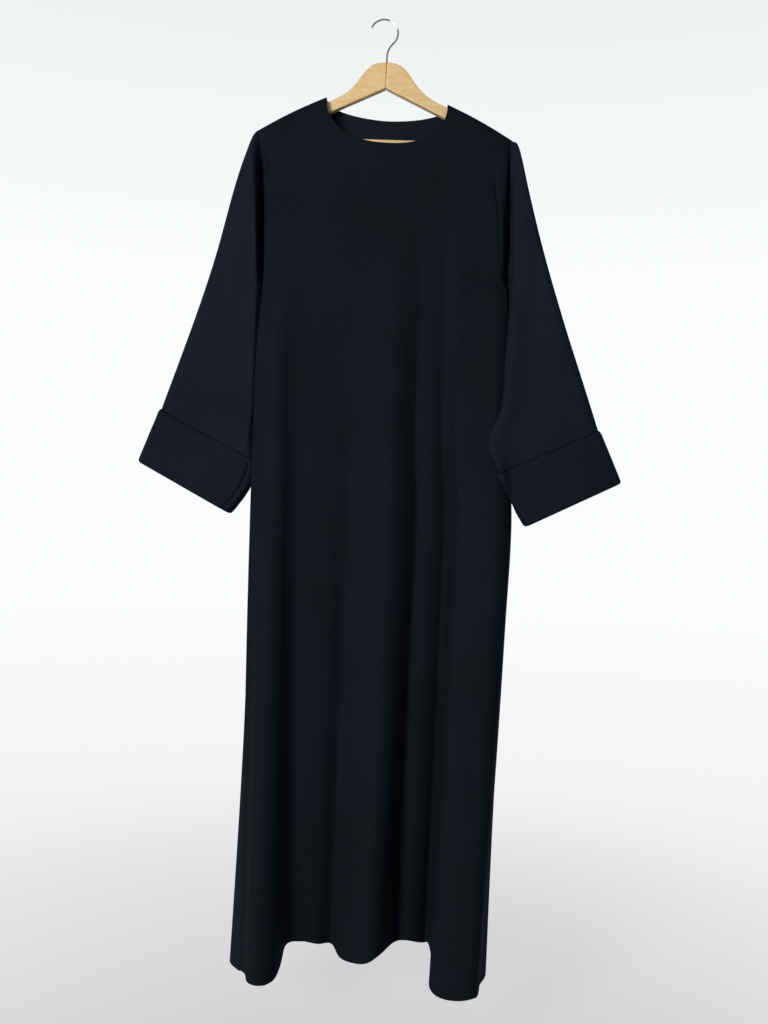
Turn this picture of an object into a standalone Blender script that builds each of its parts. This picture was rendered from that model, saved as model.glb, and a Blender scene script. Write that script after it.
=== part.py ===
"""Full-length A-line abaya, hanging from a wooden hanger with a wire hook.

The frame: +X runs to the wearer's left sleeve, -Y is the front of the garment, +Z is up,
and the origin is the top of the hook's inside, where the hanger bears on a nail or a rail.
Tables and dimensions are in millimetres, and meshes are made in metres.
"left" and "right" are as seen by someone who faces the front.
"""

import math
from collections import namedtuple

import bmesh
import bpy

MM = 0.001

# ---------------------------------------------------------------- driving dimensions

WALL = 1.6              # cloth thickness of every panel
SEAM_HALF_GAP = 0.55    # each panel stops this far from a seam that it meets edge to edge
FACING_HALF_GAP = 1.25  # and its mid-surface this far where the two lie face to face
SIDE_ROUNDING_DROP = 150.0  # below the underarm, the sides round out over this drop
SHOULDER_RISE = 2.5
FOLD_ROUND = 17.0       # distance over which cloth turns at the shoulders and sleeve folds
TURN_ANGLES = (0, 12, 35, 62, 90)   # degrees round the shoulder, one for each row of points
ROW_CROWDING = 1.1      # rows stand a little closer together near the shoulders
COLUMN_CROWDING = 1.5   # and columns closer together near the armholes
CHEST_POWER = 3         # how squarely a body panel is curved across, at the chest
SKIRT_POWER = 6         # and below the underarm

NECK_LEFT = (-93.4, -135.3)     # x, z of the neck points, where shoulder seams start
NECK_RIGHT = (111.3, -141.5)
FRONT_NECK_DROP = 77.0
BACK_NECK_DROP = 27.0
FRONT_NECK_POWER = 3.0          # a squarer U in front
BACK_NECK_POWER = 1.8           # a shallow scoop behind
NECK_STEPS = 24
NECK_CUTTER_RISE = 40.0         # the cutters reach this far above the shoulders,
NECK_CUTTER_DEPTH = 60.0        # this far out to the front or the back,
NECK_CUTTER_LAP = 5.0           # and this far past the middle
NECK_CUTTER_FLARE = 0.5

UNDERARM_Z = -440.0
ARMHOLE_HALF_DEPTH = 15.0
ARMHOLE_EASING = 90.0   # above the underarm, the body takes this long to reach that depth,
ARMHOLE_REACH = 34.0    # except this near the armhole's edge

HANGER_X = 6.2          # the hanger's centre plane
HANGER_THICK = 13.0
ARM_EDGE = 2.2          # rounding of the arms' edges
HANGER_TOP_Z = -73.0
HANGER_APEX_Z = -117.2
BAR_Z = -208.0
BAR_RADIUS = 5.25
BAR_HALF_LENGTH = 173.0
TENON_RADIUS = 3.4
TENON_LENGTH = 12.0
WIRE_RADIUS = 1.5
HOOK_RADIUS = 23.3      # of the wire's centre line
HOOK_CENTRE_X = 0.5
HOOK_BEND_Z = -62.0     # where the straight stem starts to bend
HOOK_END_ANGLE = 157.0  # degrees round from +X to the wire's open end
HOOK_DEPTH = 20.0       # how far the stem reaches down into the wood
WOOD_GAP = 0.3

# ---------------------------------------------------------------- tables

# The body's two side edges: armholes down to the underarm, then side seams.
SideRow = namedtuple("SideRow", "z left_x left_y right_x right_y front_depth back_depth")
SIDES = (
    SideRow(z=-192.0, left_x=-203, left_y=0, right_x=219, right_y=0, front_depth=17, back_depth=14),
    SideRow(z=-300.0, left_x=-200.8, left_y=0, right_x=221, right_y=0, front_depth=22, back_depth=14),
    SideRow(z=-440.0, left_x=-198, left_y=0, right_x=223, right_y=0, front_depth=25, back_depth=14),
    SideRow(z=-560.0, left_x=-199, left_y=-8, right_x=231, right_y=0, front_depth=28, back_depth=14),
    SideRow(z=-700.0, left_x=-199, left_y=-15, right_x=236, right_y=-2, front_depth=32, back_depth=16),
    SideRow(z=-840.0, left_x=-198.5, left_y=-20, right_x=240, right_y=-8, front_depth=36, back_depth=18),
    SideRow(z=-1020.0, left_x=-197, left_y=-26, right_x=233.5, right_y=-22, front_depth=40, back_depth=20),
    SideRow(z=-1200.0, left_x=-194.5, left_y=-32, right_x=226.5, right_y=-30, front_depth=42, back_depth=22),
    SideRow(z=-1400.0, left_x=-192.5, left_y=-36, right_x=217, right_y=-40, front_depth=44, back_depth=22),
    SideRow(z=-1610.0, left_x=-190, left_y=-40, right_x=206, right_y=-50, front_depth=45, back_depth=22),
)

# One row for each fold line: where it starts across the chest, and where it meets the hem.
FoldRow = namedtuple("FoldRow", "chest_x hem_x hem_y hem_z start_z")
FRONT_FOLDS = (
    FoldRow(chest_x=-203, hem_x=-190, hem_y=-40, hem_z=-1600, start_z=-420),
    FoldRow(chest_x=-190, hem_x=-178, hem_y=-80, hem_z=-1586, start_z=-420),
    FoldRow(chest_x=-174, hem_x=-165, hem_y=-113, hem_z=-1580, start_z=-400),
    FoldRow(chest_x=-156, hem_x=-146, hem_y=-132, hem_z=-1577, start_z=-380),
    FoldRow(chest_x=-139, hem_x=-123, hem_y=-125, hem_z=-1570, start_z=-360),
    FoldRow(chest_x=-126, hem_x=-116, hem_y=-98, hem_z=-1560, start_z=-350),
    FoldRow(chest_x=-112, hem_x=-116, hem_y=-62, hem_z=-1549, start_z=-360),
    FoldRow(chest_x=-94, hem_x=-99, hem_y=-38, hem_z=-1545, start_z=-420),
    FoldRow(chest_x=-68, hem_x=-62, hem_y=-38, hem_z=-1548, start_z=-500),
    FoldRow(chest_x=-40, hem_x=-30, hem_y=-66, hem_z=-1558, start_z=-560),
    FoldRow(chest_x=-12, hem_x=2, hem_y=-92, hem_z=-1557, start_z=-560),
    FoldRow(chest_x=18, hem_x=34, hem_y=-76, hem_z=-1551, start_z=-520),
    FoldRow(chest_x=44, hem_x=57, hem_y=-42, hem_z=-1544, start_z=-480),
    FoldRow(chest_x=70, hem_x=84, hem_y=-32, hem_z=-1541, start_z=-420),
    FoldRow(chest_x=92, hem_x=111, hem_y=-40, hem_z=-1543, start_z=-360),
    FoldRow(chest_x=105, hem_x=119, hem_y=-76, hem_z=-1556, start_z=-350),
    FoldRow(chest_x=117, hem_x=118, hem_y=-118, hem_z=-1572, start_z=-360),
    FoldRow(chest_x=142, hem_x=137, hem_y=-147, hem_z=-1582, start_z=-380),
    FoldRow(chest_x=172, hem_x=167, hem_y=-147, hem_z=-1585, start_z=-420),
    FoldRow(chest_x=196, hem_x=187, hem_y=-118, hem_z=-1578, start_z=-450),
    FoldRow(chest_x=210, hem_x=197, hem_y=-84, hem_z=-1590, start_z=-480),
    FoldRow(chest_x=219, hem_x=206, hem_y=-50, hem_z=-1606, start_z=-480),
)
BACK_FOLDS = (
    FoldRow(chest_x=-203, hem_x=-190, hem_y=-40, hem_z=-1600, start_z=-800),
    FoldRow(chest_x=-197, hem_x=-207, hem_y=-14, hem_z=-1602, start_z=-820),
    FoldRow(chest_x=-186, hem_x=-212, hem_y=12, hem_z=-1604, start_z=-820),
    FoldRow(chest_x=-170, hem_x=-194, hem_y=35, hem_z=-1600, start_z=-760),
    FoldRow(chest_x=-150, hem_x=-160, hem_y=38, hem_z=-1586, start_z=-620),
    FoldRow(chest_x=-120, hem_x=-124, hem_y=12, hem_z=-1572, start_z=-520),
    FoldRow(chest_x=-88, hem_x=-88, hem_y=40, hem_z=-1562, start_z=-560),
    FoldRow(chest_x=-52, hem_x=-50, hem_y=34, hem_z=-1555, start_z=-560),
    FoldRow(chest_x=-16, hem_x=-15, hem_y=6, hem_z=-1550, start_z=-600),
    FoldRow(chest_x=22, hem_x=20, hem_y=36, hem_z=-1549, start_z=-560),
    FoldRow(chest_x=60, hem_x=60, hem_y=38, hem_z=-1550, start_z=-520),
    FoldRow(chest_x=96, hem_x=96, hem_y=8, hem_z=-1556, start_z=-520),
    FoldRow(chest_x=132, hem_x=134, hem_y=36, hem_z=-1566, start_z=-600),
    FoldRow(chest_x=166, hem_x=172, hem_y=42, hem_z=-1584, start_z=-700),
    FoldRow(chest_x=190, hem_x=203, hem_y=36, hem_z=-1602, start_z=-900),
    FoldRow(chest_x=204, hem_x=221, hem_y=12, hem_z=-1608, start_z=-900),
    FoldRow(chest_x=213, hem_x=219, hem_y=-16, hem_z=-1608, start_z=-900),
    FoldRow(chest_x=219, hem_x=206, hem_y=-50, hem_z=-1606, start_z=-800),
)
FOLD_GROWTH = 1.2       # how slowly a fold deepens on its way to the hem

# Each sleeve lies flat: a row gives its outer fold, its inner fold and its thickness.
SleeveRow = namedtuple("SleeveRow", "share outer_x outer_z inner_x inner_z mid_y half_depth")
SLEEVE_LEFT = (
    SleeveRow(share=0.00, outer_x=-203, outer_z=-192, inner_x=-199.4, inner_z=-440, mid_y=0, half_depth=15),
    SleeveRow(share=0.05, outer_x=-211, outer_z=-198, inner_x=-202, inner_z=-444, mid_y=0.5, half_depth=15),
    SleeveRow(share=0.14, outer_x=-219, outer_z=-216, inner_x=-203, inner_z=-452, mid_y=2.5, half_depth=15),
    SleeveRow(share=0.30, outer_x=-240, outer_z=-282, inner_x=-203, inner_z=-467, mid_y=8, half_depth=15),
    SleeveRow(share=0.50, outer_x=-272, outer_z=-403, inner_x=-199, inner_z=-493, mid_y=15, half_depth=15),
    SleeveRow(share=0.70, outer_x=-304, outer_z=-505, inner_x=-196, inner_z=-565, mid_y=18, half_depth=14),
    SleeveRow(share=1.00, outer_x=-360, outer_z=-672, inner_x=-197, inner_z=-754, mid_y=12, half_depth=13),
)
SLEEVE_RIGHT = (
    SleeveRow(share=0.00, outer_x=219, outer_z=-197, inner_x=224.4, inner_z=-440, mid_y=0, half_depth=15),
    SleeveRow(share=0.05, outer_x=227, outer_z=-204, inner_x=226.4, inner_z=-444, mid_y=-1, half_depth=15),
    SleeveRow(share=0.14, outer_x=233, outer_z=-222, inner_x=228, inner_z=-451, mid_y=-3.5, half_depth=15),
    SleeveRow(share=0.30, outer_x=248, outer_z=-289, inner_x=229, inner_z=-466, mid_y=-12.5, half_depth=15),
    SleeveRow(share=0.50, outer_x=278, outer_z=-408, inner_x=226, inner_z=-497, mid_y=-32, half_depth=14),
    SleeveRow(share=0.70, outer_x=311, outer_z=-518, inner_x=215, inner_z=-578, mid_y=-52, half_depth=12),
    SleeveRow(share=1.00, outer_x=371, outer_z=-691, inner_x=211, inner_z=-749, mid_y=-58, half_depth=11),
)
CuffRow = namedtuple("CuffRow", "outer_x outer_z inner_x inner_z mid_y half_depth")
CUFF_LEFT_HEM = CuffRow(outer_x=-392, outer_z=-761, inner_x=-235, inner_z=-843, mid_y=6, half_depth=14)
CUFF_RIGHT_HEM = CuffRow(outer_x=407, outer_z=-775, inner_x=258, inner_z=-849, mid_y=-62, half_depth=13)
CUFF_STAND = 3.0        # the cuff's wall stands this far outside the sleeve's

# Rings along a sleeve, from the armhole to the top of its cuff, then on inside the cuff.
SLEEVE_SIDES = 20
SLEEVE_SHARES = (0, 0.04, 0.09, 0.16, 0.25, 0.35, 0.45, 0.55, 0.65, 0.75, 0.84, 0.92, 1)
IN_CUFF_SHARES = (0.33, 0.66, 0.955)
# Rings of the cuff: down the outside, round its lower edge and a little way up the inside.
CuffRing = namedtuple("CuffRing", "share offset")
CUFF_RINGS = (
    CuffRing(share=0.0, offset=CUFF_STAND),
    CuffRing(share=0.25, offset=CUFF_STAND),
    CuffRing(share=0.5, offset=CUFF_STAND),
    CuffRing(share=0.75, offset=CUFF_STAND),
    CuffRing(share=0.955, offset=CUFF_STAND),
    CuffRing(share=0.985, offset=CUFF_STAND * 0.7),
    CuffRing(share=1.0, offset=0.0),
    CuffRing(share=0.985, offset=-CUFF_STAND * 0.7),
    CuffRing(share=0.955, offset=-CUFF_STAND),
    CuffRing(share=0.89, offset=-CUFF_STAND),
)

# Half of a hanger arm's outline: distance from the centre plane, and height.
ArmPoint = namedtuple("ArmPoint", "out z")
ARM_TOP = (
    ArmPoint(out=0, z=-73.0),
    ArmPoint(out=16, z=-74.8),
    ArmPoint(out=26, z=-79.5),
    ArmPoint(out=36, z=-89.0),
    ArmPoint(out=54, z=-114.0),
    ArmPoint(out=68, z=-127.0),
    ArmPoint(out=82, z=-136.0),
    ArmPoint(out=100, z=-144.5),
    ArmPoint(out=145, z=-166.0),
    ArmPoint(out=190, z=-191.0),
    ArmPoint(out=202, z=-200.0),
)
ARM_STEP = 8            # spacing of the outline's points along the top
ARM_UNDER = (
    ArmPoint(out=207, z=-207.0),
    ArmPoint(out=205, z=-214.0),
    ArmPoint(out=196, z=-218.5),
    ArmPoint(out=177, z=-218.5),
    ArmPoint(out=173, z=-215.0),
    ArmPoint(out=173, z=-199.0),
    ArmPoint(out=150, z=-190.5),
    ArmPoint(out=97, z=-163.0),
    ArmPoint(out=0, z=-117.2),
)

# ---------------------------------------------------------------- colours and finish

Finish = namedtuple("Finish", "colour roughness metallic")
CLOTH = Finish(colour="#161C23", roughness=0.85, metallic=0.0)
WOOD = Finish(colour="#D7BB95", roughness=0.45, metallic=0.0)
CHROME = Finish(colour="#B9BCBF", roughness=0.2, metallic=1.0)

# ---------------------------------------------------------------- working out the shapes


def clear_scene():
    for old in list(bpy.data.objects):
        bpy.data.objects.remove(old, do_unlink=True)


def mix(a, b, share):
    return a + (b - a) * share


def through(xs, ys, x):
    """The value at x of a smooth curve through the points (xs, ys), with xs rising."""
    x = min(max(x, xs[0]), xs[-1])
    last = len(xs) - 1
    i = 0
    while i < last - 1 and x > xs[i + 1]:
        i += 1
    step = xs[i + 1] - xs[i]
    t = (x - xs[i]) / step

    def slope(k):
        low, high = max(k - 1, 0), min(k + 1, last)
        return (ys[high] - ys[low]) / (xs[high] - xs[low])

    start, end = slope(i) * step, slope(i + 1) * step
    return (
        (2 * t**3 - 3 * t**2 + 1) * ys[i]
        + (t**3 - 2 * t**2 + t) * start
        + (3 * t**2 - 2 * t**3) * ys[i + 1]
        + (t**3 - t**2) * end
    )


def from_table(rows, key, column, at):
    """A column of a table, read at a value of its key column."""
    ordered = sorted(rows, key=lambda row: getattr(row, key))
    xs = [getattr(row, key) for row in ordered]
    ys = [getattr(row, column) for row in ordered]
    return through(xs, ys, at)


def side_at(column, z):
    z = min(max(z, SIDES[-1].z), SIDES[0].z)
    return from_table(SIDES, "z", column, z)


def eased(share):
    """A share from 0 to 1 that starts and ends gently."""
    share = min(1.0, max(0.0, share))
    return share * share * (3 - 2 * share)


def side_roundness(z):
    """0 along the armhole, 1 where the side of the body is a rounded corner."""
    return eased((UNDERARM_Z - z) / SIDE_ROUNDING_DROP)


def turned_over(distance):
    """How much of its full depth the cloth has reached at this distance from a fold."""
    share = min(1.0, max(0.0, distance / FOLD_ROUND))
    return math.sqrt(1 - (1 - share) ** 2)


def armhole_depth(z):
    """How far a panel's edge stands out along the armhole, where the sleeve's round fold meets it."""
    return ARMHOLE_HALF_DEPTH * turned_over(z - UNDERARM_Z)


def side_depth(z):
    """The same for the cloth beside the armhole, which flattens more gently to the underarm."""
    return ARMHOLE_HALF_DEPTH * eased((z - UNDERARM_Z) / ARMHOLE_EASING)


def neck_share(x):
    """-1 at the left neck point, 1 at the right one."""
    middle = (NECK_LEFT[0] + NECK_RIGHT[0]) / 2
    half = (NECK_RIGHT[0] - NECK_LEFT[0]) / 2
    return (x - middle) / half


def shoulder_z(x):
    """Height of the shoulder line, carried straight across the neck."""
    s = neck_share(x)
    if s <= -1:
        along = (NECK_LEFT[0] - x) / (NECK_LEFT[0] - SIDES[0].left_x)
        return mix(NECK_LEFT[1], SLEEVE_LEFT[0].outer_z, along) + shoulder_rise(along)
    if s >= 1:
        along = (x - NECK_RIGHT[0]) / (SIDES[0].right_x - NECK_RIGHT[0])
        return mix(NECK_RIGHT[1], SLEEVE_RIGHT[0].outer_z, along) + shoulder_rise(along)
    return mix(NECK_LEFT[1], NECK_RIGHT[1], (s + 1) / 2)


def shoulder_rise(along):
    """The hanger holds the middle of each shoulder a little above a straight line."""
    return SHOULDER_RISE * math.sin(math.pi * along)


def top_edge_places(shoulder_columns, neck_columns):
    """x of each column at the top edge, crowded towards the armholes and side seams."""
    places = []
    for i in range(shoulder_columns):
        places.append(mix(SIDES[0].left_x, NECK_LEFT[0], (i / shoulder_columns) ** COLUMN_CROWDING))
    for i in range(neck_columns + 1):
        places.append(mix(NECK_LEFT[0], NECK_RIGHT[0], i / neck_columns))
    for i in range(shoulder_columns - 1, -1, -1):
        places.append(mix(SIDES[0].right_x, NECK_RIGHT[0], (i / shoulder_columns) ** COLUMN_CROWDING))
    return places


def panel_point(chest_x, z, folds, sign):
    """One point of the front (sign -1) or back (sign 1) panel."""
    left, right = side_at("left_x", z), side_at("right_x", z)
    hem_left, hem_right = folds[0].hem_x, folds[-1].hem_x
    across = (chest_x - folds[0].chest_x) / (folds[-1].chest_x - folds[0].chest_x)
    hem_x = from_table(folds, "chest_x", "hem_x", chest_x)
    hem_y = from_table(folds, "chest_x", "hem_y", chest_x)
    hem_z = from_table(folds, "chest_x", "hem_z", chest_x)
    start_z = from_table(folds, "chest_x", "start_z", chest_x)
    hem_across = (hem_x - hem_left) / (hem_right - hem_left)
    growth = max(0.0, (start_z - z) / (start_z - hem_z)) ** FOLD_GROWTH
    x = mix(left, right, mix(across, hem_across, growth))

    def flat_y(height):
        seam_y = mix(side_at("left_y", height), side_at("right_y", height), across)
        column = "front_depth" if sign < 0 else "back_depth"
        middle = sign * side_at(column, height)
        from_middle = abs(2 * across - 1)
        gentle = 1 - from_middle**CHEST_POWER
        rounded = math.sqrt(1 - from_middle**SKIRT_POWER)
        share = mix(gentle, rounded, side_roundness(height))
        return mix(seam_y + sign * side_depth(height), middle, share)

    width = folds[-1].chest_x - folds[0].chest_x
    nearness = eased(1 - width * min(across, 1 - across) / ARMHOLE_REACH)
    beside_armhole = sign * nearness * (armhole_depth(z) - side_depth(z))
    y = flat_y(z) + beside_armhole + growth * (hem_y - flat_y(hem_z))
    turned = turned_over(shoulder_z(chest_x) - z)
    return (x, mix(sign * SEAM_HALF_GAP, y, turned), z)


def panel_surface(folds, sign, shoulder_columns, neck_columns, rows):
    """A grid of points for one body panel: a list of columns, each from the top to the hem."""
    grid = []
    turn_rows = [1 - math.cos(math.radians(angle)) for angle in TURN_ANGLES]
    for chest_x in top_edge_places(shoulder_columns, neck_columns):
        top = shoulder_z(chest_x)
        hem = from_table(folds, "chest_x", "hem_z", chest_x)
        heights = [top - share * FOLD_ROUND for share in turn_rows]
        for i in range(1, rows + 1):
            heights.append(mix(top - FOLD_ROUND, hem, (i / rows) ** ROW_CROWDING))
        grid.append([panel_point(chest_x, z, folds, sign) for z in heights])
    for column in (grid[0], grid[-1]):
        for i, (x, y, z) in enumerate(column):
            if z <= UNDERARM_Z:
                gap = mix(FACING_HALF_GAP, SEAM_HALF_GAP, side_roundness(z))
                column[i] = (x, y + sign * gap, z)
    return grid


def neck_outline(drop, power):
    """The neckline, as x, z points, closed well above the shoulders."""
    points = []
    for i in range(NECK_STEPS + 1):
        turn = math.pi * i / NECK_STEPS
        s = -math.copysign(abs(math.cos(turn)) ** (2 / power), math.cos(turn))
        x = mix(NECK_LEFT[0], NECK_RIGHT[0], (s + 1) / 2)
        points.append((x, shoulder_z(x) - drop * math.sin(turn) ** (2 / power)))
    above = NECK_LEFT[1] + NECK_CUTTER_RISE
    points.append((NECK_RIGHT[0] + NECK_CUTTER_FLARE, above))
    points.append((NECK_LEFT[0] - NECK_CUTTER_FLARE, above))
    return points


def sleeve_row(rows, share):
    names = SleeveRow._fields[1:]
    return CuffRow(*(from_table(rows, "share", name, share) for name in names))


def cuff_row(top, hem, share):
    return CuffRow(*(mix(a, b, share) for a, b in zip(top, hem)))


def flat_ring(row, offset):
    """A flattened ring between a row's outer and inner folds, moved out by offset."""
    long_x, long_z = row.inner_x - row.outer_x, row.inner_z - row.outer_z
    length = math.hypot(long_x, long_z)
    middle_x, middle_z = (row.outer_x + row.inner_x) / 2, (row.outer_z + row.inner_z) / 2
    ring = []
    for i in range(SLEEVE_SIDES):
        turn = 2 * math.pi * i / SLEEVE_SIDES
        along = -math.cos(turn) * (0.5 + offset / length)
        from_fold = (1 - abs(math.cos(turn))) * (length / 2 + offset)
        depth = turned_over(from_fold) * (row.half_depth + offset)
        y = row.mid_y - math.copysign(depth, math.sin(turn))
        ring.append((middle_x + long_x * along, y, middle_z + long_z * along))
    return ring


# ---------------------------------------------------------------- making objects


def finish_material(name, finish):
    """A Principled BSDF in the piece's own colour."""
    material = bpy.data.materials.new(name)
    material.use_nodes = True
    shader = material.node_tree.nodes["Principled BSDF"]
    channels = [int(finish.colour[i : i + 2], 16) / 255 for i in (1, 3, 5)]
    linear = [c / 12.92 if c <= 0.04045 else ((c + 0.055) / 1.055) ** 2.4 for c in channels]
    shader.inputs["Base Color"].default_value = (*linear, 1)
    shader.inputs["Roughness"].default_value = finish.roughness
    shader.inputs["Metallic"].default_value = finish.metallic
    return material


def new_object(name, mesh, collection, finish):
    piece = bpy.data.objects.new(name, mesh)
    piece.data.materials.append(finish_material(name, finish))
    collection.objects.link(piece)
    return piece


def loft(name, lines, closed, collection):
    """Cloth through lines of points, each joined to the next, made solid with Solidify."""
    count = len(lines[0])
    points = [(x * MM, y * MM, z * MM) for line in lines for x, y, z in line]
    steps = count if closed else count - 1
    faces = []
    for i in range(len(lines) - 1):
        for j in range(steps):
            k = (j + 1) % count
            faces.append((i * count + j, (i + 1) * count + j, (i + 1) * count + k, i * count + k))
    mesh = bpy.data.meshes.new(name)
    mesh.from_pydata(points, [], faces)
    work = bmesh.new()
    work.from_mesh(mesh)
    bmesh.ops.recalc_face_normals(work, faces=work.faces)
    work.to_mesh(mesh)
    work.free()
    mesh.shade_smooth()
    piece = new_object(name, mesh, collection, CLOTH)
    wall = piece.modifiers.new("Cloth wall", "SOLIDIFY")
    wall.thickness = WALL * MM
    wall.offset = 0.0
    wall.use_even_offset = True
    return piece


def prism(name, outline, near_y, far_y):
    """A solid with an x, z outline, from near_y back to far_y."""
    work = bmesh.new()
    verts = [work.verts.new((x * MM, near_y * MM, z * MM)) for x, z in outline]
    face = work.faces.new(verts)
    grown = bmesh.ops.extrude_face_region(work, geom=[face])
    moved = [item for item in grown["geom"] if isinstance(item, bmesh.types.BMVert)]
    bmesh.ops.translate(work, verts=moved, vec=(0, (far_y - near_y) * MM, 0))
    bmesh.ops.recalc_face_normals(work, faces=work.faces)
    mesh = bpy.data.meshes.new(name)
    work.to_mesh(mesh)
    work.free()
    return mesh


def hide_cutter(cutter, cutters):
    cutter.hide_render = True
    cutter.display_type = "WIRE"
    for home in list(cutter.users_collection):
        home.objects.unlink(cutter)
    cutters.objects.link(cutter)


def cut_with(piece, cutter, label):
    cut = piece.modifiers.new(label, "BOOLEAN")
    cut.operation = "DIFFERENCE"
    cut.object = cutter


def add_panel(name, surface, neck, sign, collection, cutters):
    """A body panel with its half of the neck hole cut out."""
    panel = loft(name, surface, False, collection)
    hole = prism(f"{name}_neck", neck, -sign * NECK_CUTTER_LAP, sign * NECK_CUTTER_DEPTH)
    cutter = bpy.data.objects.new(f"{name}_neck", hole)
    hide_cutter(cutter, cutters)
    cut_with(panel, cutter, "Neckline")


def add_body(collection, cutters):
    front = panel_surface(FRONT_FOLDS, -1, shoulder_columns=15, neck_columns=19, rows=18)
    front_neck = neck_outline(FRONT_NECK_DROP, FRONT_NECK_POWER)
    add_panel("front_panel", front, front_neck, -1, collection, cutters)
    back = panel_surface(BACK_FOLDS, 1, shoulder_columns=11, neck_columns=15, rows=14)
    back_neck = neck_outline(BACK_NECK_DROP, BACK_NECK_POWER)
    add_panel("back_panel", back, back_neck, 1, collection, cutters)


def add_sleeve(side, rows, hem, seam_gap_x, collection):
    """A sleeve, from the armhole down into the turned-back cuff."""
    rings = [flat_ring(sleeve_row(rows, share), 0) for share in SLEEVE_SHARES]
    rings[0] = [(x + seam_gap_x, y, z) for x, y, z in rings[0]]
    top = sleeve_row(rows, 1)
    for share in IN_CUFF_SHARES:
        rings.append(flat_ring(cuff_row(top, hem, share), 0))
    loft(f"sleeve_{side}", rings, True, collection)

    cuff_rings = []
    for ring in CUFF_RINGS:
        cuff_rings.append(flat_ring(cuff_row(top, hem, ring.share), ring.offset))
    loft(f"cuff_{side}", cuff_rings, True, collection)


def arm_outline(sign):
    """The arm's outline, from the centre out along the top and back along the underside."""
    points = [(WOOD_GAP / 2, HANGER_TOP_Z)]
    outs = [row.out for row in ARM_TOP]
    tops = [row.z for row in ARM_TOP]
    for out in range(ARM_STEP, 200, ARM_STEP):
        points.append((out, through(outs, tops, out)))
    points.append((ARM_TOP[-1].out, ARM_TOP[-1].z))
    points.extend((row.out, row.z) for row in ARM_UNDER[:-1])
    points.append((WOOD_GAP / 2, HANGER_APEX_Z))
    return [(HANGER_X + sign * out, z) for out, z in points]


def add_bore_cutter(name, radius, depth, location, turn, cutters):
    bpy.ops.mesh.primitive_cylinder_add(
        vertices=16, radius=radius * MM, depth=depth * MM, location=location, rotation=turn
    )
    cutter = bpy.context.object
    cutter.name = name
    hide_cutter(cutter, cutters)
    return cutter


def add_hanger_arm(side, sign, hook_cutter, collection, cutters):
    """One flat wooden arm with rounded edges, bored for the hook and the trouser bar."""
    name = f"hanger_arm_{side}"
    half = HANGER_THICK / 2
    arm = new_object(name, prism(name, arm_outline(sign), -half, half), collection, WOOD)
    edges = arm.modifiers.new("Rounded edges", "BEVEL")
    edges.width = ARM_EDGE * MM
    edges.segments = 2
    edges.limit_method = "ANGLE"
    edges.angle_limit = math.radians(50)
    bar_x = HANGER_X + sign * BAR_HALF_LENGTH
    bar_cutter = add_bore_cutter(
        f"bar_bore_{side}", TENON_RADIUS + WOOD_GAP, 2 * (TENON_LENGTH + 2),
        (bar_x * MM, 0, BAR_Z * MM), (0, math.pi / 2, 0), cutters,
    )
    cut_with(arm, hook_cutter, "Hook bore")
    cut_with(arm, bar_cutter, "Bar bore")


def add_trouser_bar(collection):
    """A turned bar with a thinner tenon at each end."""
    half = BAR_HALF_LENGTH
    profile = (
        (0, half + TENON_LENGTH),
        (TENON_RADIUS, half + TENON_LENGTH),
        (TENON_RADIUS, half - WOOD_GAP),
        (BAR_RADIUS, half - WOOD_GAP),
        (BAR_RADIUS, -half + WOOD_GAP),
        (TENON_RADIUS, -half + WOOD_GAP),
        (TENON_RADIUS, -half - TENON_LENGTH),
        (0, -half - TENON_LENGTH),
    )
    mesh = bpy.data.meshes.new("trouser_bar")
    points = [(radius * MM, 0, height * MM) for radius, height in profile]
    mesh.from_pydata(points, [(i, i + 1) for i in range(len(points) - 1)], [])
    bar = new_object("trouser_bar", mesh, collection, WOOD)
    bar.location = (HANGER_X * MM, 0, BAR_Z * MM)
    bar.rotation_euler = (0, math.pi / 2, 0)
    turned = bar.modifiers.new("Turned", "SCREW")
    turned.steps = 16
    turned.render_steps = 16
    turned.use_merge_vertices = True
    turned.merge_threshold = 0.00001


def hook_route():
    """x, z along the wire: up out of the wood, an S bend, then round over the bearing point."""
    centre_z = WIRE_RADIUS - HOOK_RADIUS
    stem_out = HANGER_X - HOOK_CENTRE_X
    drop = centre_z - HOOK_BEND_Z
    # The S bend's radius makes it touch the hook's circle and the stem.
    bend = (HOOK_RADIUS**2 - stem_out**2 - drop**2) / (2 * (stem_out - HOOK_RADIUS))
    bend_x = HANGER_X + bend
    route = [(HANGER_X, HANGER_TOP_Z - HOOK_DEPTH), (HANGER_X, HANGER_TOP_Z + 2)]
    touch = math.atan2(drop, HOOK_CENTRE_X - bend_x)
    steps = 6
    for i in range(steps):
        turn = mix(math.pi, touch, i / steps)
        route.append((bend_x + bend * math.cos(turn), HOOK_BEND_Z + bend * math.sin(turn)))
    start, end = touch - math.pi, math.radians(HOOK_END_ANGLE)
    steps = 18
    for i in range(steps + 1):
        turn = mix(start, end, i / steps)
        route.append((
            HOOK_CENTRE_X + HOOK_RADIUS * math.cos(turn),
            centre_z + HOOK_RADIUS * math.sin(turn),
        ))
    return route


def add_hook(collection):
    curve = bpy.data.curves.new("hook", "CURVE")
    curve.dimensions = "3D"
    curve.bevel_depth = WIRE_RADIUS * MM
    curve.bevel_resolution = 2
    curve.use_fill_caps = True
    route = hook_route()
    spline = curve.splines.new("POLY")
    spline.points.add(len(route) - 1)
    for point, (x, z) in zip(spline.points, route):
        point.co = (x * MM, 0, z * MM, 1)
    new_object("hook", curve, collection, CHROME)


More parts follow.
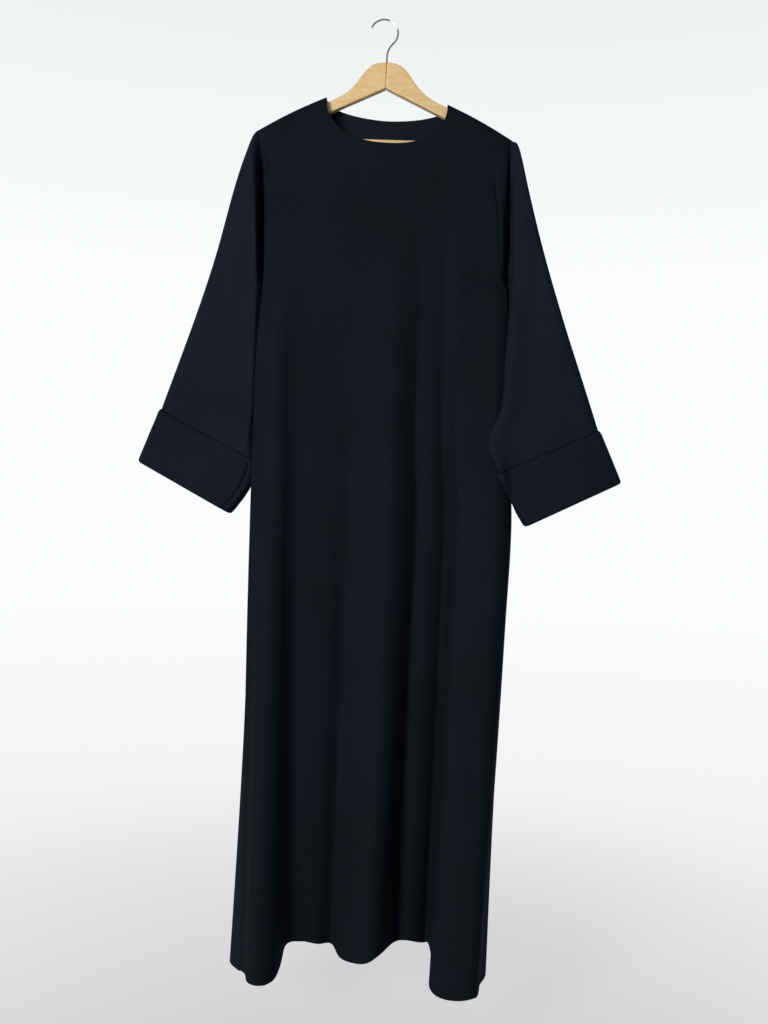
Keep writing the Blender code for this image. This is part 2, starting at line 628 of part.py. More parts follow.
def main():
    clear_scene()
    collection = bpy.data.collections.new("Abaya on hanger")
    cutters = bpy.data.collections.new("Cutters")
    bpy.context.scene.collection.children.link(collection)
    bpy.context.scene.collection.children.link(cutters)
    add_body(collection, cutters)
    add_sleeve("left", SLEEVE_LEFT, CUFF_LEFT_HEM, -SEAM_HALF_GAP * 2, collection)
    add_sleeve("right", SLEEVE_RIGHT, CUFF_RIGHT_HEM, SEAM_HALF_GAP * 2, collection)
    hook_cutter = add_bore_cutter(
        "hook_bore", WIRE_RADIUS + WOOD_GAP, 2 * (HOOK_DEPTH + 2),
        (HANGER_X * MM, 0, HANGER_TOP_Z * MM), (0, 0, 0), cutters,
    )
    add_hanger_arm("left", -1, hook_cutter, collection, cutters)
    add_hanger_arm("right", 1, hook_cutter, collection, cutters)
    add_trouser_bar(collection)
    add_hook(collection)


main()
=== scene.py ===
"""A full-length A-line abaya on a wooden hanger: its cloth, sewing, wood and wire.

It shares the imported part's frame: metres, +Z up, -Y is the front of the garment, and the
origin is the top of the hook's inside. The tables are in millimetres.
"left" and "right" are as seen by someone who faces the front.
"""

import math
from collections import namedtuple

import bmesh
import bpy
import numpy as np
from mathutils.bvhtree import BVHTree
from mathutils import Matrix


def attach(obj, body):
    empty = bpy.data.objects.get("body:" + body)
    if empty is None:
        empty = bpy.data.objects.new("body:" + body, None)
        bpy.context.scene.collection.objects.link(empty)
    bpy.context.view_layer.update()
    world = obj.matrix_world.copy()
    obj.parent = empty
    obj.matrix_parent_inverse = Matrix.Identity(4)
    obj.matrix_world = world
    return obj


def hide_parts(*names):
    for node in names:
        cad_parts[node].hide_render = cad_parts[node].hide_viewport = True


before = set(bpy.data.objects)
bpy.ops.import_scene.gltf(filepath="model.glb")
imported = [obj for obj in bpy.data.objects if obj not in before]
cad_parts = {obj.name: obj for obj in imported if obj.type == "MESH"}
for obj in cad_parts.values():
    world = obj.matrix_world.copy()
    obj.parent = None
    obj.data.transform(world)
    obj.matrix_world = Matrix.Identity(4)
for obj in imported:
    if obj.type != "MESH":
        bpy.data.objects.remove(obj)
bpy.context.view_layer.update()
bpy.ops.object.select_all(action="DESELECT")
MM = 0.001

# ---------------------------------------------------------------- front panel
# The whole front of the body is one piece of black plain-weave crepe, cut wider at the hem
# than at the chest, so that it hangs in soft tubes. It is sewn to the back panel and the
# sleeves, and its hem is turned up once and blind-stitched.

CLOTH_WALL = 1.1
SEAM_OVERLAP = 0.1      # panels that are sewn edge to edge pass the seam by this, so none gapes
FOLD_ROUND = 17.0       # distance over which cloth turns at the shoulders and sleeve folds
SHOULDER_RISE = 2.5
UNDERARM_Z = -440.0
ARMHOLE_HALF_DEPTH = 15.0
ARMHOLE_EASING = 90.0   # the body's depth at its sides grows over this height above the underarm
ARMHOLE_REACH = 34.0    # the armhole shapes the body this far in from its sides
Groove = namedtuple("Groove", "body sleeve")
GROOVE_LEFT = Groove(body=3.5, sleeve=11.0)    # the cloth sinks into each armhole seam over these
GROOVE_RIGHT = Groove(body=10.0, sleeve=3.5)   # widths on its two sides,
GROOVE_DEPTH = 0.85     # by this share of its depth,
GROOVE_TOP_DROP = 12.0  # from this far below the shoulder,
GROOVE_EASING = 60.0    # and fully after this much more
SIDE_ROUNDING_DROP = 70.0       # below the underarm, the sides round out over this drop
NECK_LEFT = (-93.4, -135.3)     # x, z of the neck points
NECK_RIGHT = (111.3, -141.5)
SHOULDER_LEFT_Z = -192.0
SHOULDER_RIGHT_Z = -197.0
FRONT_NECK_DROP = 75.8
FRONT_NECK_POWER = 2.35
FOLD_GROWTH = 1.2       # how slowly a fold deepens on its way to the hem
HEM_TURNING = 24.0
HEM_STITCH_FAINTNESS = 1.0      # the blind stitches hardly show: their line counts as this far off
HEM_RIDGE = 0.5         # the turned-up cloth lifts the hem by this
SHOULDER_ROWS = 9       # rows of points that go round the shoulder
ROW_CROWDING = 1.05     # rows stand a little closer together near the shoulders,
COLUMN_CROWDING = 0.055         # and columns near the sides
SMOOTH_ANGLE = 50.0     # degrees; sharper edges, as at the cloth's cut edges, stay sharp

# The body's two side edges: armholes down to the underarm, then side seams.
Side = namedtuple("Side", "z left_x left_y right_x right_y front_depth back_depth")
SIDES = (
    Side(z=-192, left_x=-203, left_y=0, right_x=219, right_y=0, front_depth=17, back_depth=14),
    Side(z=-250, left_x=-197.5, left_y=0, right_x=220.5, right_y=0, front_depth=20, back_depth=14),
    Side(z=-330, left_x=-192.5, left_y=0, right_x=222.5, right_y=0, front_depth=22, back_depth=14),
    Side(z=-440, left_x=-191, left_y=0, right_x=225, right_y=0, front_depth=25, back_depth=14),
    Side(z=-490, left_x=-194, left_y=-2, right_x=229, right_y=0, front_depth=27, back_depth=14),
    Side(z=-560, left_x=-198, left_y=-8, right_x=230.5, right_y=0, front_depth=29, back_depth=14),
    Side(z=-700, left_x=-199, left_y=-15, right_x=231.5, right_y=-2, front_depth=32, back_depth=16),
    Side(z=-840, left_x=-198.5, left_y=-20, right_x=240, right_y=-8, front_depth=36, back_depth=18),
    Side(z=-1020, left_x=-197, left_y=-26, right_x=233.5, right_y=-22, front_depth=40, back_depth=20),
    Side(z=-1200, left_x=-194.5, left_y=-32, right_x=226.5, right_y=-30, front_depth=42, back_depth=22),
    Side(z=-1400, left_x=-192.5, left_y=-36, right_x=217, right_y=-40, front_depth=44, back_depth=22),
    Side(z=-1610, left_x=-190, left_y=-40, right_x=206, right_y=-50, front_depth=45, back_depth=22),
)

# One row for each fold line: where it starts across the chest, and where it meets the hem.
Fold = namedtuple("Fold", "chest_x hem_x hem_y hem_z start_z")
FRONT_FOLDS = (
    Fold(chest_x=-203, hem_x=-190, hem_y=-40, hem_z=-1598, start_z=-420),
    Fold(chest_x=-190, hem_x=-176, hem_y=-74, hem_z=-1588, start_z=-420),
    Fold(chest_x=-183, hem_x=-168, hem_y=-112, hem_z=-1581, start_z=-400),
    Fold(chest_x=-177, hem_x=-158, hem_y=-129, hem_z=-1578, start_z=-370),
    Fold(chest_x=-171, hem_x=-146, hem_y=-130, hem_z=-1579, start_z=-330),
    Fold(chest_x=-164, hem_x=-135, hem_y=-124, hem_z=-1579, start_z=-310),
    Fold(chest_x=-157, hem_x=-125, hem_y=-110, hem_z=-1577, start_z=-300),
    Fold(chest_x=-147, hem_x=-119, hem_y=-86, hem_z=-1568, start_z=-310),
    Fold(chest_x=-130, hem_x=-113, hem_y=-64, hem_z=-1544, start_z=-360),
    Fold(chest_x=-97, hem_x=-88, hem_y=-59, hem_z=-1539, start_z=-420),
    Fold(chest_x=-68, hem_x=-62, hem_y=-51, hem_z=-1546, start_z=-480),
    Fold(chest_x=-46, hem_x=-40, hem_y=-35, hem_z=-1552, start_z=-480),
    Fold(chest_x=-28, hem_x=-25, hem_y=-55, hem_z=-1565, start_z=-460),
    Fold(chest_x=-6, hem_x=-3, hem_y=-80, hem_z=-1562, start_z=-420),
    Fold(chest_x=18, hem_x=19, hem_y=-97, hem_z=-1554, start_z=-380),
    Fold(chest_x=38, hem_x=38, hem_y=-85, hem_z=-1546, start_z=-340),
    Fold(chest_x=54, hem_x=54, hem_y=-50, hem_z=-1546, start_z=-320),
    Fold(chest_x=63, hem_x=63, hem_y=-28, hem_z=-1549, start_z=-320),
    Fold(chest_x=74, hem_x=73, hem_y=-34, hem_z=-1543, start_z=-340),
    Fold(chest_x=86, hem_x=87, hem_y=-37, hem_z=-1542, start_z=-340),
    Fold(chest_x=96, hem_x=103, hem_y=-29, hem_z=-1548, start_z=-330),
    Fold(chest_x=105, hem_x=114, hem_y=-17, hem_z=-1553, start_z=-310),
    Fold(chest_x=112, hem_x=119, hem_y=-30, hem_z=-1548, start_z=-320),
    Fold(chest_x=118, hem_x=123, hem_y=-60, hem_z=-1556, start_z=-330),
    Fold(chest_x=124, hem_x=120, hem_y=-96, hem_z=-1564, start_z=-340),
    Fold(chest_x=131, hem_x=118, hem_y=-128, hem_z=-1573, start_z=-350),
    Fold(chest_x=146, hem_x=131, hem_y=-147, hem_z=-1579, start_z=-380),
    Fold(chest_x=172, hem_x=160, hem_y=-152, hem_z=-1582, start_z=-420),
    Fold(chest_x=198, hem_x=186, hem_y=-146, hem_z=-1580, start_z=-450),
    Fold(chest_x=212, hem_x=196, hem_y=-116, hem_z=-1588, start_z=-480),
    Fold(chest_x=219, hem_x=206, hem_y=-50, hem_z=-1606, start_z=-480),
)

# The smaller creases on top of the folds, each a soft ridge (or a trough, where its depth is
# below 0) from one x, z to another.
Crease = namedtuple("Crease", "from_x from_z to_x to_z width depth")
FRONT_CREASES = (
    Crease(from_x=-195, from_z=-220, to_x=-193, to_z=-310, width=3.2, depth=1.4),
    Crease(from_x=-189, from_z=-215, to_x=-188, to_z=-320, width=3.0, depth=-1.5),
    Crease(from_x=-172, from_z=-240, to_x=-168, to_z=-640, width=13, depth=2.2),
    Crease(from_x=199, from_z=-240, to_x=211, to_z=-400, width=3.4, depth=1.3),
    Crease(from_x=193, from_z=-235, to_x=206, to_z=-410, width=3.2, depth=-1.8),
    Crease(from_x=214, from_z=-190, to_x=226, to_z=-1240, width=52, depth=19),
    Crease(from_x=24, from_z=-260, to_x=24, to_z=-1150, width=30, depth=6),
)


def mix(a, b, share):
    return a + (b - a) * share


def smooth(xs, ys, x):
    """The value at x, a number or an array, of a smooth curve through the points (xs, ys)."""
    order = np.argsort(xs)
    xs, ys = np.array(xs, float)[order], np.array(ys, float)[order]
    slopes = np.gradient(ys, np.arange(len(ys))) / np.gradient(xs, np.arange(len(xs)))
    x = np.clip(x, xs[0], xs[-1])
    i = np.clip(np.searchsorted(xs, x, side="right") - 1, 0, len(xs) - 2)
    step = xs[i + 1] - xs[i]
    t = (x - xs[i]) / step
    return (
        (2 * t**3 - 3 * t**2 + 1) * ys[i]
        + (t**3 - 2 * t**2 + t) * step * slopes[i]
        + (3 * t**2 - 2 * t**3) * ys[i + 1]
        + (t**3 - t**2) * step * slopes[i + 1]
    )


def from_table(rows, key, column, at):
    return smooth([getattr(r, key) for r in rows], [getattr(r, column) for r in rows], at)


def side_at(column, z):
    return from_table(SIDES, "z", column, z)


def eased(share):
    """share, from 0 to 1, with a gentle start and end."""
    share = np.clip(share, 0, 1)
    return share**2 * (3 - 2 * share)


def turned_over(distance, reach=FOLD_ROUND):
    """How much of its full depth the cloth has reached at this distance from a fold."""
    share = np.clip(distance / reach, 0, 1)
    return np.sqrt(1 - (1 - share) ** 2)


def shoulder_z(x):
    """Height of the shoulder line, carried straight across the neck."""
    left = np.clip((NECK_LEFT[0] - x) / (NECK_LEFT[0] - SIDES[0].left_x), 0, 1)
    right = np.clip((x - NECK_RIGHT[0]) / (SIDES[0].right_x - NECK_RIGHT[0]), 0, 1)
    across = np.clip((x - NECK_LEFT[0]) / (NECK_RIGHT[0] - NECK_LEFT[0]), 0, 1)
    neck = mix(NECK_LEFT[1], NECK_RIGHT[1], across)
    slope = (SHOULDER_LEFT_Z - NECK_LEFT[1]) * left + (SHOULDER_RIGHT_Z - NECK_RIGHT[1]) * right
    return neck + slope + SHOULDER_RISE * (np.sin(np.pi * left) + np.sin(np.pi * right))


def kept_at_armhole(distance, width, below_shoulder):
    """The share of its depth that the cloth keeps at this distance from an armhole seam."""
    sunk = GROOVE_DEPTH * eased((below_shoulder - GROOVE_TOP_DROP) / GROOVE_EASING)
    return 1 - sunk * np.exp(-((distance / width) ** 3))


def crease_height(creases, x, z):
    """How far the creases lift the cloth at x, z."""
    total = np.zeros_like(x)
    for crease in creases:
        run_x, run_z = crease.to_x - crease.from_x, crease.to_z - crease.from_z
        length = math.hypot(run_x, run_z)
        along = ((x - crease.from_x) * run_x + (z - crease.from_z) * run_z) / length**2
        aside = ((x - crease.from_x) * run_z - (z - crease.from_z) * run_x) / length
        aside = aside + 0.25 * crease.width * np.sin(5 * along + crease.from_x)
        fade = eased(along / 0.3) * eased((1 - along) / 0.35)
        total += crease.depth * fade * np.exp(-((aside / crease.width) ** 2))
    return total


def drawn_up(along, distance):
    """The small waves that a seam draws up in the cloth beside it, uneven along its length."""
    waves = np.sin(along * 0.19) + 0.7 * np.sin(along * 0.31 + 1.3) + 0.5 * np.sin(along * 0.113 + 4)
    return 0.28 * waves * np.exp(-distance / 9.0)


def panel_grid(folds, creases, sign, columns, rows):
    """Points of the front (sign -1) or back (sign 1) panel, as x, y, z arrays of rows by columns,
    with each point's place across the chest, and its distance from the side seams and the hem."""
    share = np.linspace(0, 1, columns)
    crowded = share - COLUMN_CROWDING * np.sin(2 * np.pi * share)
    chest_x = mix(folds[0].chest_x, folds[-1].chest_x, crowded)[None, :]
    top = shoulder_z(chest_x)
    hem_z = from_table(folds, "chest_x", "hem_z", chest_x)
    turn = 1 - np.cos(np.linspace(0, np.pi / 2, SHOULDER_ROWS))
    below = np.linspace(0, 1, rows - SHOULDER_ROWS + 1)[1:] ** ROW_CROWDING
    z = np.vstack([top - turn[:, None] * FOLD_ROUND, mix(top - FOLD_ROUND, hem_z, below[:, None])])
    chest_x = np.broadcast_to(chest_x, z.shape)

    hem_x = from_table(folds, "chest_x", "hem_x", chest_x)
    hem_y = from_table(folds, "chest_x", "hem_y", chest_x)
    start_z = from_table(folds, "chest_x", "start_z", chest_x)
    across = (chest_x - folds[0].chest_x) / (folds[-1].chest_x - folds[0].chest_x)
    hem_across = (hem_x - folds[0].hem_x) / (folds[-1].hem_x - folds[0].hem_x)
    growth = np.clip((start_z - z) / (start_z - hem_z), 0, None) ** FOLD_GROWTH
    x = mix(side_at("left_x", z), side_at("right_x", z), mix(across, hem_across, growth))

    def side_depth(height):
        return ARMHOLE_HALF_DEPTH * eased((height - UNDERARM_Z) / ARMHOLE_EASING)

    def flat_y(height):
        seam_y = mix(side_at("left_y", height), side_at("right_y", height), across)
        edge = seam_y + sign * side_depth(height)
        middle = sign * side_at("front_depth" if sign < 0 else "back_depth", height)
        from_middle = np.abs(2 * across - 1)
        rounding = eased((UNDERARM_Z - height) / SIDE_ROUNDING_DROP)
        # Down the body, its left side grows rounder and its right side squarer.
        left_squareness = mix(2.2, 1.0, eased((-300 - height) / 160))
        right_squareness = mix(2.0, 4.5, eased((-700 - height) / 200))
        squareness = np.where(across > 0.5, right_squareness, left_squareness)
        gentle = 1 - from_middle ** (3 * squareness)
        rounded = np.sqrt(1 - from_middle ** (6 * squareness))
        return mix(edge, middle, mix(gentle, rounded, rounding))

    from_side = np.minimum(across, 1 - across) * (folds[-1].chest_x - folds[0].chest_x)
    opened = mix(eased((z - UNDERARM_Z) / 50), turned_over(z - UNDERARM_Z), np.exp(-((from_side / 4) ** 2)))
    armhole = ARMHOLE_HALF_DEPTH * opened - side_depth(z)
    y = flat_y(z) + sign * armhole * eased(1 - from_side / ARMHOLE_REACH)
    y = y + growth * (hem_y - flat_y(hem_z))
    from_hem = z - hem_z
    above_turning = np.clip(from_hem - HEM_TURNING, 0, None)
    lift = drawn_up(z, from_side) + HEM_RIDGE * np.exp(-(above_turning / 1.5) ** 2)
    y = y + sign * lift * np.clip(from_side / 5.0, 0, 1)
    y = y + sign * crease_height(creases, x, z) * eased(from_side / 9)
    width = np.where(across > 0.5, GROOVE_RIGHT.body, GROOVE_LEFT.body)
    width = width * mix(0.4, 1, eased((top - z - 40) / 130))
    from_armhole = np.hypot(from_side, np.minimum(z - UNDERARM_Z, 0))
    y = y * kept_at_armhole(from_armhole, width, top - z)
    y = mix(-sign * SEAM_OVERLAP, y, turned_over(top - z))
    seam = (from_side < 0.01) & (z <= UNDERARM_Z)
    y = np.where(seam, y - sign * SEAM_OVERLAP, y)
    return x, y, z, chest_x, from_side, from_hem


def neck_outline(drop, power, steps=72):
    """The neckline, as x, z points from the left neck point to the right one."""
    turn = np.linspace(0, np.pi, steps + 1)
    s = -np.sign(np.cos(turn)) * np.abs(np.cos(turn)) ** (2 / power)
    x = mix(NECK_LEFT[0], NECK_RIGHT[0], (s + 1) / 2)
    return x, shoulder_z(x) - drop * np.sin(turn) ** (2 / power)


def cloth_piece(name, x, y, z, u, v, lines_of_stitches_and_shade, closed=False):
    """Cloth through a grid of points, with its UV map in metres and a wall of even thickness.

    Each array in the list of dark lines holds every point's distance from one line, which is a row of
    stitches or a line of painted shade in a gap.
    """
    rows, columns = x.shape
    points = np.stack([x, y, z], axis=-1).reshape(-1, 3) * MM
    across = columns if closed else columns - 1
    i, j = np.meshgrid(np.arange(rows - 1), np.arange(across), indexing="ij")
    k = (j + 1) % columns
    corners = np.stack([i * columns + j, (i + 1) * columns + j, (i + 1) * columns + k, i * columns + k], -1)
    mesh = bpy.data.meshes.new(name)
    mesh.from_pydata(points.tolist(), [], corners.reshape(-1, 4).tolist())
    uv = mesh.uv_layers.new(name="cloth")
    last_u = np.concatenate([u, u[:, :1] + (u[:, -1:] - u[:, :1]) * columns / (columns - 1)], axis=1)
    last_v = np.concatenate([v, v[:, :1]], axis=1)
    places = [(i, j), (i + 1, j), (i + 1, j + 1), (i, j + 1)]
    corner_u = np.stack([last_u[place] for place in places], axis=-1)
    corner_v = np.stack([last_v[place] for place in places], axis=-1)
    uv.data.foreach_set("uv", (np.stack([corner_u, corner_v], -1) * MM).ravel())
    nearest_dark_line = np.full(x.shape, 100.0)
    for distance in lines_of_stitches_and_shade:
        nearest_dark_line = np.where(np.abs(distance) < np.abs(nearest_dark_line), distance, nearest_dark_line)
    attribute = mesh.attributes.new("from_stitch_and_shade_lines", "FLOAT", "POINT")
    attribute.data.foreach_set("value", (nearest_dark_line * MM).ravel())
    piece = bpy.data.objects.new(name, mesh)
    bpy.context.scene.collection.objects.link(piece)
    work = bmesh.new()
    work.from_mesh(mesh)
    bmesh.ops.recalc_face_normals(work, faces=work.faces)
    work.to_mesh(mesh)
    work.free()
    wall = piece.modifiers.new("Cloth wall", "SOLIDIFY")
    wall.thickness = CLOTH_WALL * MM
    wall.offset = 0.0
    apply_modifier(piece, wall)
    return piece


def apply_modifier(piece, modifier):
    bpy.ops.object.select_all(action="DESELECT")
    piece.select_set(True)
    bpy.context.view_layer.objects.active = piece
    bpy.ops.object.modifier_apply(modifier=modifier.name)


def smooth_shading(piece, degrees):
    bpy.ops.object.select_all(action="DESELECT")
    piece.select_set(True)
    bpy.context.view_layer.objects.active = piece
    bpy.ops.object.shade_smooth_by_angle(angle=math.radians(degrees))


def cut_neck(piece, drop, power, near_y, far_y):
    """Cuts the neck hole out of a body panel, with a prism of the neckline's own outline."""
    x, z = neck_outline(drop, power)
    above = NECK_LEFT[1] + 40
    x, z = np.append(x, [NECK_RIGHT[0] + 0.5, NECK_LEFT[0] - 0.5]), np.append(z, [above, above])
    bpy.ops.mesh.primitive_circle_add(vertices=len(x), radius=1, fill_type="NGON")
    cutter = bpy.context.object
    for vertex, place_x, place_z in zip(cutter.data.vertices, x, z):
        vertex.co = (place_x * MM, near_y * MM, place_z * MM)
    bpy.ops.object.mode_set(mode="EDIT")
    bpy.ops.mesh.select_all(action="SELECT")
    bpy.ops.mesh.extrude_region_move(TRANSFORM_OT_translate={"value": (0, (far_y - near_y) * MM, 0)})
    bpy.ops.mesh.select_all(action="SELECT")
    bpy.ops.mesh.normals_make_consistent(inside=False)
    bpy.ops.object.mode_set(mode="OBJECT")
    cut = piece.modifiers.new("Neckline", "BOOLEAN")
    cut.operation = "DIFFERENCE"
    cut.object = cutter
    apply_modifier(piece, cut)
    bpy.data.objects.remove(cutter)


def colour(hex_code):
    """An sRGB hex value as linear RGBA."""
    channels = [int(hex_code[i : i + 2], 16) / 255 for i in (1, 3, 5)]
    return (*(c / 12.92 if c <= 0.04045 else ((c + 0.055) / 1.055) ** 2.4 for c in channels), 1)


def add_node(tree, kind, inputs=None, **settings):
    """Adds a node with its settings, then its input values and links by socket name or number."""
    node = tree.nodes.new(kind)
    for name, value in settings.items():
        setattr(node, name, value)
    for name, value in (inputs or {}).items():
        if isinstance(value, bpy.types.NodeSocket):
            tree.links.new(value, node.inputs[name])
        else:
            node.inputs[name].default_value = value
    return node


def new_material(name):
    material = bpy.data.materials.new(name)
    material.use_nodes = True
    material.node_tree.nodes.clear()
    return material, material.node_tree


def black_crepe(name, thread_colour, shade_colour, slub_colour):
    """Matte plain-weave polyester crepe, dyed black: it drinks the light, shows hardly any gloss,
    and its threads and slubs break up the surface very slightly."""
    material, tree = new_material(name)
    cloth_uv = add_node(tree, "ShaderNodeUVMap", uv_map="cloth").outputs["UV"]
    place = add_node(tree, "ShaderNodeTexCoord").outputs["Object"]

    # Threads of 0.4 mm can't show from here, so they are drawn at 1.2 mm.
    threads = []
    for direction in ("X", "Y"):
        wave = add_node(
            tree, "ShaderNodeTexWave",
            {"Vector": cloth_uv, "Scale": 130.0, "Distortion": 0.6, "Detail": 1.0},
            wave_type="BANDS", bands_direction=direction, wave_profile="SIN",
        )
        threads.append(wave.outputs["Fac"])
    weave = add_node(tree, "ShaderNodeMath", {0: threads[0], 1: threads[1]}, operation="MULTIPLY")

    # Slubs: thicker stretches of thread, long in the direction that they run.
    slub_fields = []
    for stretch in ((60.0, 900.0, 1.0), (900.0, 60.0, 1.0)):
        mapped = add_node(tree, "ShaderNodeMapping", {"Vector": cloth_uv, "Scale": stretch})
        field = add_node(
            tree, "ShaderNodeTexNoise",
            {"Vector": mapped.outputs["Vector"], "Scale": 1.0, "Detail": 2.0, "Roughness": 0.5},
        )
        slub_fields.append(field.outputs["Fac"])
    slubs = add_node(tree, "ShaderNodeMath", {0: slub_fields[0], 1: slub_fields[1]}, operation="ADD")
    slub_share = add_node(
        tree, "ShaderNodeMapRange",
        {"Value": slubs.outputs[0], "From Min": 0.8, "From Max": 1.3, "To Min": 0.0, "To Max": 0.5},
    )

    # Broad unevenness of the dye and of how the cloth was pressed.
    pressed = add_node(
        tree, "ShaderNodeTexNoise", {"Vector": place, "Scale": 7.0, "Detail": 3.0, "Roughness": 0.55}
    )
    pressed_share = add_node(
        tree, "ShaderNodeMapRange",
        {"Value": pressed.outputs["Fac"], "From Min": 0.35, "From Max": 0.65},
    )
    dyed = add_node(
        tree, "ShaderNodeMix",
        {"Factor": pressed_share.outputs["Result"], "A": colour(shade_colour), "B": colour(thread_colour)},
        data_type="RGBA",
    )
    with_slubs = add_node(
        tree, "ShaderNodeMix",
        {"Factor": slub_share.outputs["Result"], "A": dyed.outputs["Result"], "B": colour(slub_colour)},
        data_type="RGBA",
    )

    # Along the sewn lines, the cloth sinks a little and is drawn darker.
    # The same darkening is also painted shade along lines with no stitches: the gaps at the cuffs' top
    # edges.
    sewn = add_node(
        tree, "ShaderNodeAttribute", attribute_name="from_stitch_and_shade_lines", attribute_type="GEOMETRY"
    ).outputs["Fac"]
    distance = add_node(tree, "ShaderNodeMath", {0: sewn}, operation="ABSOLUTE")
    sunk = add_node(
        tree, "ShaderNodeMapRange",
        {"Value": distance.outputs[0], "From Min": 0.0003, "From Max": 0.0014, "To Min": 0.0, "To Max": 1.0},
    )
    height = add_node(
        tree, "ShaderNodeMath",
        {0: weave.outputs[0], 1: 0.35, 2: sunk.outputs["Result"]}, operation="MULTIPLY_ADD",
    )
    bump = add_node(
        tree, "ShaderNodeBump", {"Height": height.outputs[0], "Strength": 0.5, "Distance": 0.00035}
    )
    stitch_and_shade_darkening = add_node(
        tree, "ShaderNodeMix",
        {"Factor": sunk.outputs["Result"], "A": colour("#07090C"), "B": with_slubs.outputs["Result"]},
        data_type="RGBA",
    )
    shader = add_node(
        tree, "ShaderNodeBsdfPrincipled",
        {
            "Base Color": stitch_and_shade_darkening.outputs["Result"], "Roughness": 0.82,
            "Specular IOR Level": 0.05, "Sheen Weight": 0.02, "Sheen Roughness": 0.45,
            "Sheen Tint": colour("#8FA0B4"), "Normal": bump.outputs["Normal"],
        },
    )
    add_node(tree, "ShaderNodeOutputMaterial", {"Surface": shader.outputs["BSDF"]})
    return material


body_cloth = black_crepe("black_crepe_body", "#10151C", "#0D1218", "#151B23")

x, y, z, chest_x, from_side, from_hem = panel_grid(FRONT_FOLDS, FRONT_CREASES, -1, columns=180, rows=238)
stitch_and_shade_lines = [np.abs(from_hem - HEM_TURNING) + HEM_STITCH_FAINTNESS]
front_panel = cloth_piece("front_panel_cloth", x, y, z, chest_x, -z, stitch_and_shade_lines)
cut_neck(front_panel, FRONT_NECK_DROP, FRONT_NECK_POWER, near_y=-60, far_y=5)
smooth_shading(front_panel, SMOOTH_ANGLE)
front_panel.data.materials.append(body_cloth)
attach(front_panel, "root")
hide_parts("front_panel")

# ---------------------------------------------------------------- back panel
# The back is one piece of the same crepe with a shallow neck. It hangs from the same
# shoulder seams, behind the hanger, and its folds are flatter than the front's.

BACK_NECK_DROP = 27.0
BACK_NECK_POWER = 1.8
BACK_FOLDS = (
    Fold(chest_x=-203, hem_x=-190, hem_y=-40, hem_z=-1600, start_z=-800),
    Fold(chest_x=-197, hem_x=-207, hem_y=-14, hem_z=-1602, start_z=-820),
    Fold(chest_x=-186, hem_x=-212, hem_y=12, hem_z=-1604, start_z=-820),
    Fold(chest_x=-170, hem_x=-194, hem_y=35, hem_z=-1600, start_z=-760),
    Fold(chest_x=-150, hem_x=-160, hem_y=38, hem_z=-1586, start_z=-620),
    Fold(chest_x=-120, hem_x=-124, hem_y=12, hem_z=-1572, start_z=-520),
    Fold(chest_x=-88, hem_x=-88, hem_y=40, hem_z=-1562, start_z=-560),
    Fold(chest_x=-52, hem_x=-50, hem_y=34, hem_z=-1555, start_z=-560),
    Fold(chest_x=-16, hem_x=-15, hem_y=6, hem_z=-1550, start_z=-600),
    Fold(chest_x=22, hem_x=20, hem_y=36, hem_z=-1549, start_z=-560),
    Fold(chest_x=60, hem_x=60, hem_y=38, hem_z=-1550, start_z=-520),
    Fold(chest_x=96, hem_x=96, hem_y=8, hem_z=-1556, start_z=-520),
    Fold(chest_x=132, hem_x=134, hem_y=36, hem_z=-1566, start_z=-600),
    Fold(chest_x=166, hem_x=172, hem_y=42, hem_z=-1584, start_z=-700),
    Fold(chest_x=190, hem_x=203, hem_y=36, hem_z=-1602, start_z=-900),
    Fold(chest_x=204, hem_x=221, hem_y=12, hem_z=-1608, start_z=-900),
    Fold(chest_x=213, hem_x=219, hem_y=-16, hem_z=-1608, start_z=-900),
    Fold(chest_x=219, hem_x=206, hem_y=-50, hem_z=-1606, start_z=-800),
)
BACK_CREASES = (
    Crease(from_x=-176, from_z=-225, to_x=-160, to_z=-520, width=8, depth=2.2),
    Crease(from_x=-120, from_z=-210, to_x=-96, to_z=-620, width=14, depth=1.8),
    Crease(from_x=-60, from_z=-330, to_x=-48, to_z=-760, width=16, depth=-1.8),
    Crease(from_x=70, from_z=-300, to_x=62, to_z=-720, width=15, depth=1.6),
    Crease(from_x=140, from_z=-220, to_x=118, to_z=-610, width=13, depth=-2.0),
    Crease(from_x=200, from_z=-230, to_x=184, to_z=-500, width=8, depth=2.0),
)

x, y, z, chest_x, from_side, from_hem = panel_grid(BACK_FOLDS, BACK_CREASES, 1, columns=132, rows=190)
stitch_and_shade_lines = [np.abs(from_hem - HEM_TURNING) + HEM_STITCH_FAINTNESS]
back_panel = cloth_piece("back_panel_cloth", x, y, z, chest_x, -z, stitch_and_shade_lines)
cut_neck(back_panel, BACK_NECK_DROP, BACK_NECK_POWER, near_y=-5, far_y=60)
smooth_shading(back_panel, SMOOTH_ANGLE)
# The back's crepe is painted paler than the front's: painted light on the inside of the back, seen through
# the neck, where shade falls.
back_panel.data.materials.append(black_crepe("black_crepe_back_painted_paler", "#151B23", "#11171E", "#1A2029"))
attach(back_panel, "root")
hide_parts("back_panel")

# ---------------------------------------------------------------- sleeves
# Each sleeve is one piece of crepe, folded along its top and sewn under the arm. It is cut
# straight and wide, hangs flat beside the body, and runs on inside its cuff.

